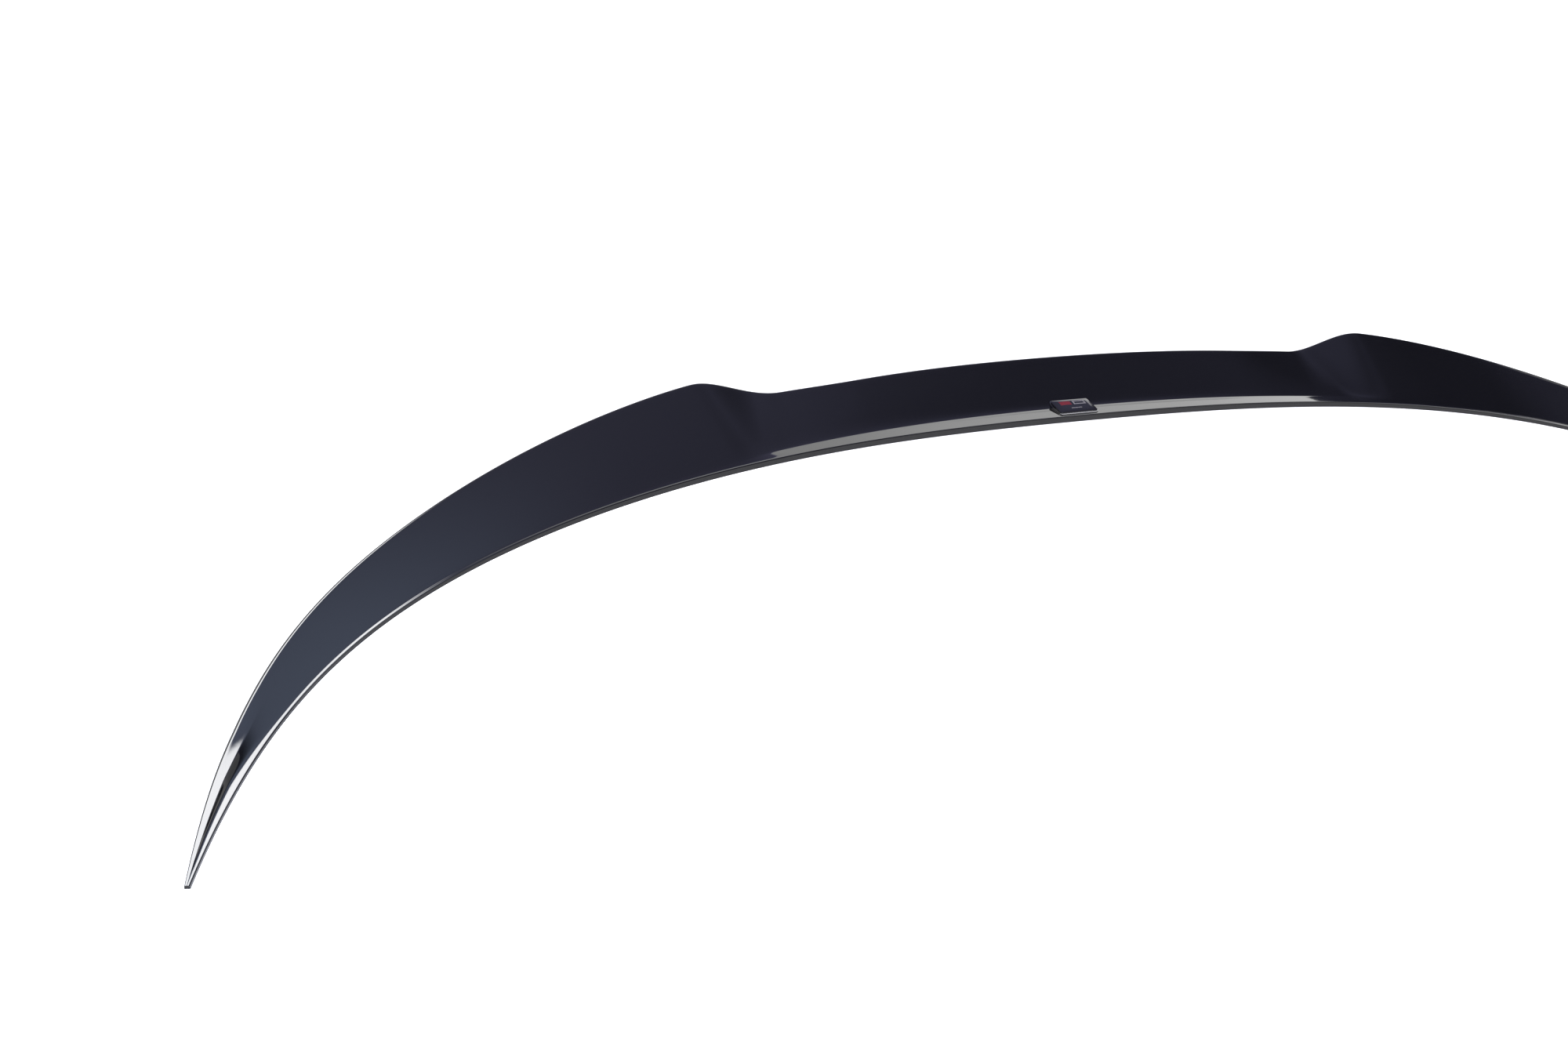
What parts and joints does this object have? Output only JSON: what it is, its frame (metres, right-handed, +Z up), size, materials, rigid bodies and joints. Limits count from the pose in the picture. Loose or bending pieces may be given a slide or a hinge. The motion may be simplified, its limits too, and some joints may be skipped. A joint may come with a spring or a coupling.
{
  "type": "car rear spoiler",
  "caption": "Gloss black moulded boot lid spoiler with a flat front lip, a raised kick on each side and thin ends that sweep forward and down.",
  "frame": {"origin": "middle of the lower front edge, where the front of the seat meets the boot lid on the car's centre plane", "axes": "+X across the car, +Y to the rear of the car, +Z up"},
  "size_m": [1.2052, 0.304, 0.143],
  "materials": {
    "shell_black": "high gloss",
    "label_silver": "satin metallised film",
    "dome_black": "clear gloss resin over black print"
  },
  "bodies": {
    "root": {"spoiler_shell": "shell_black", "badge_label": "label_silver", "badge_dome": "dome_black"}
  },
  "joints": []
}
